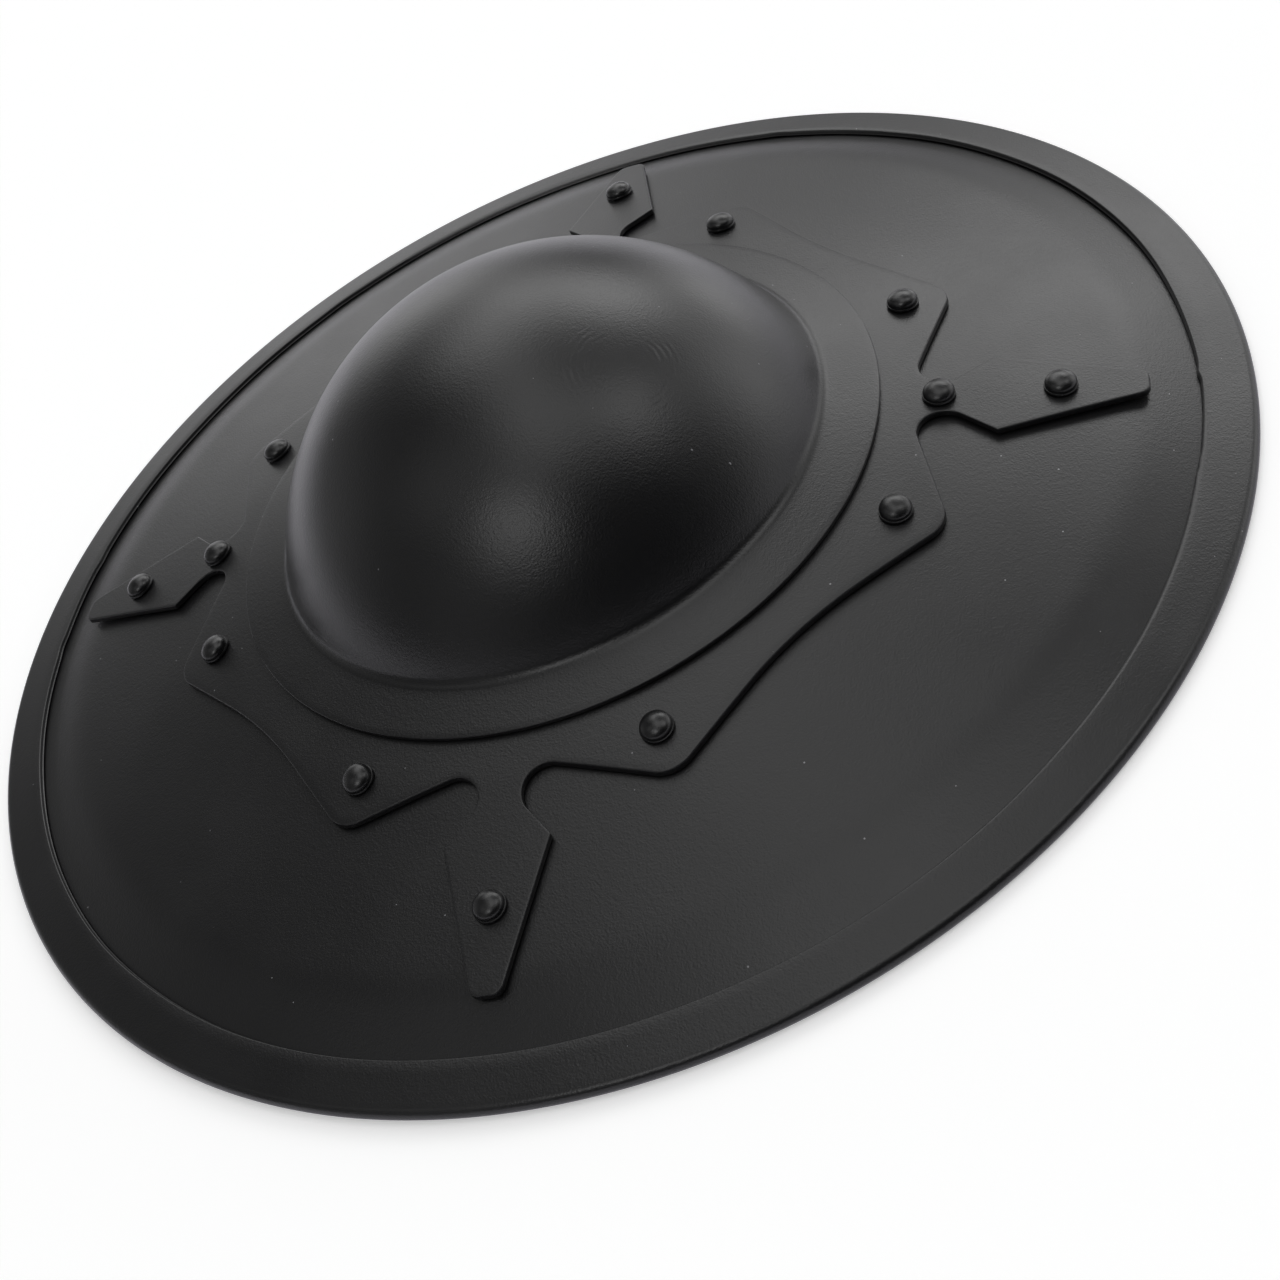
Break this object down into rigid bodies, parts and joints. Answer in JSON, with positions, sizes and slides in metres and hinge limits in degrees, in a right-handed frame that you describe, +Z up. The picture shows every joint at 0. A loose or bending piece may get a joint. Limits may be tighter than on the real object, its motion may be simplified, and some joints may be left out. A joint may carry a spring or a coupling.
{
  "type": "buckler shield",
  "caption": "Small round steel shield: dished body with a folded rim, riveted cross plate, hollow domed boss for the hand and a grip across the back.",
  "frame": {"origin": "on the surface that the shield lies on, under the centre of its rim", "axes": "+Z up through the boss, out of the front of the shield; +X along the arm of the cross plate that lies over one end of the grip, so that the grip runs along X"},
  "size_m": [0.38, 0.38, 0.0853],
  "materials": {
    "body_paint": "satin black paint over hammered sheet steel, with a fine grain and tiny pale specks",
    "plate_paint": "satin black paint over sheet steel",
    "boss_paint": "semi-gloss black paint over spun sheet steel, with a fine grain",
    "rivet_paint": "semi-gloss black paint over steel pan-head rivets",
    "grip_paint": "satin black paint over forged steel, rubbed duller where the hand closes"
  },
  "bodies": {
    "root": {"shield_body": "body_paint", "cross_plate": "plate_paint", "boss": "boss_paint", "grip": "grip_paint", "tip_rivet_1": "rivet_paint", "tip_rivet_2": "rivet_paint", "tip_rivet_3": "rivet_paint", "tip_rivet_4": "rivet_paint", "neck_rivet_1": "rivet_paint", "neck_rivet_2": "rivet_paint", "lobe_rivet_1": "rivet_paint", "lobe_rivet_2": "rivet_paint", "lobe_rivet_3": "rivet_paint", "lobe_rivet_4": "rivet_paint", "lobe_rivet_5": "rivet_paint", "lobe_rivet_6": "rivet_paint", "lobe_rivet_7": "rivet_paint", "lobe_rivet_8": "rivet_paint"}
  },
  "joints": []
}
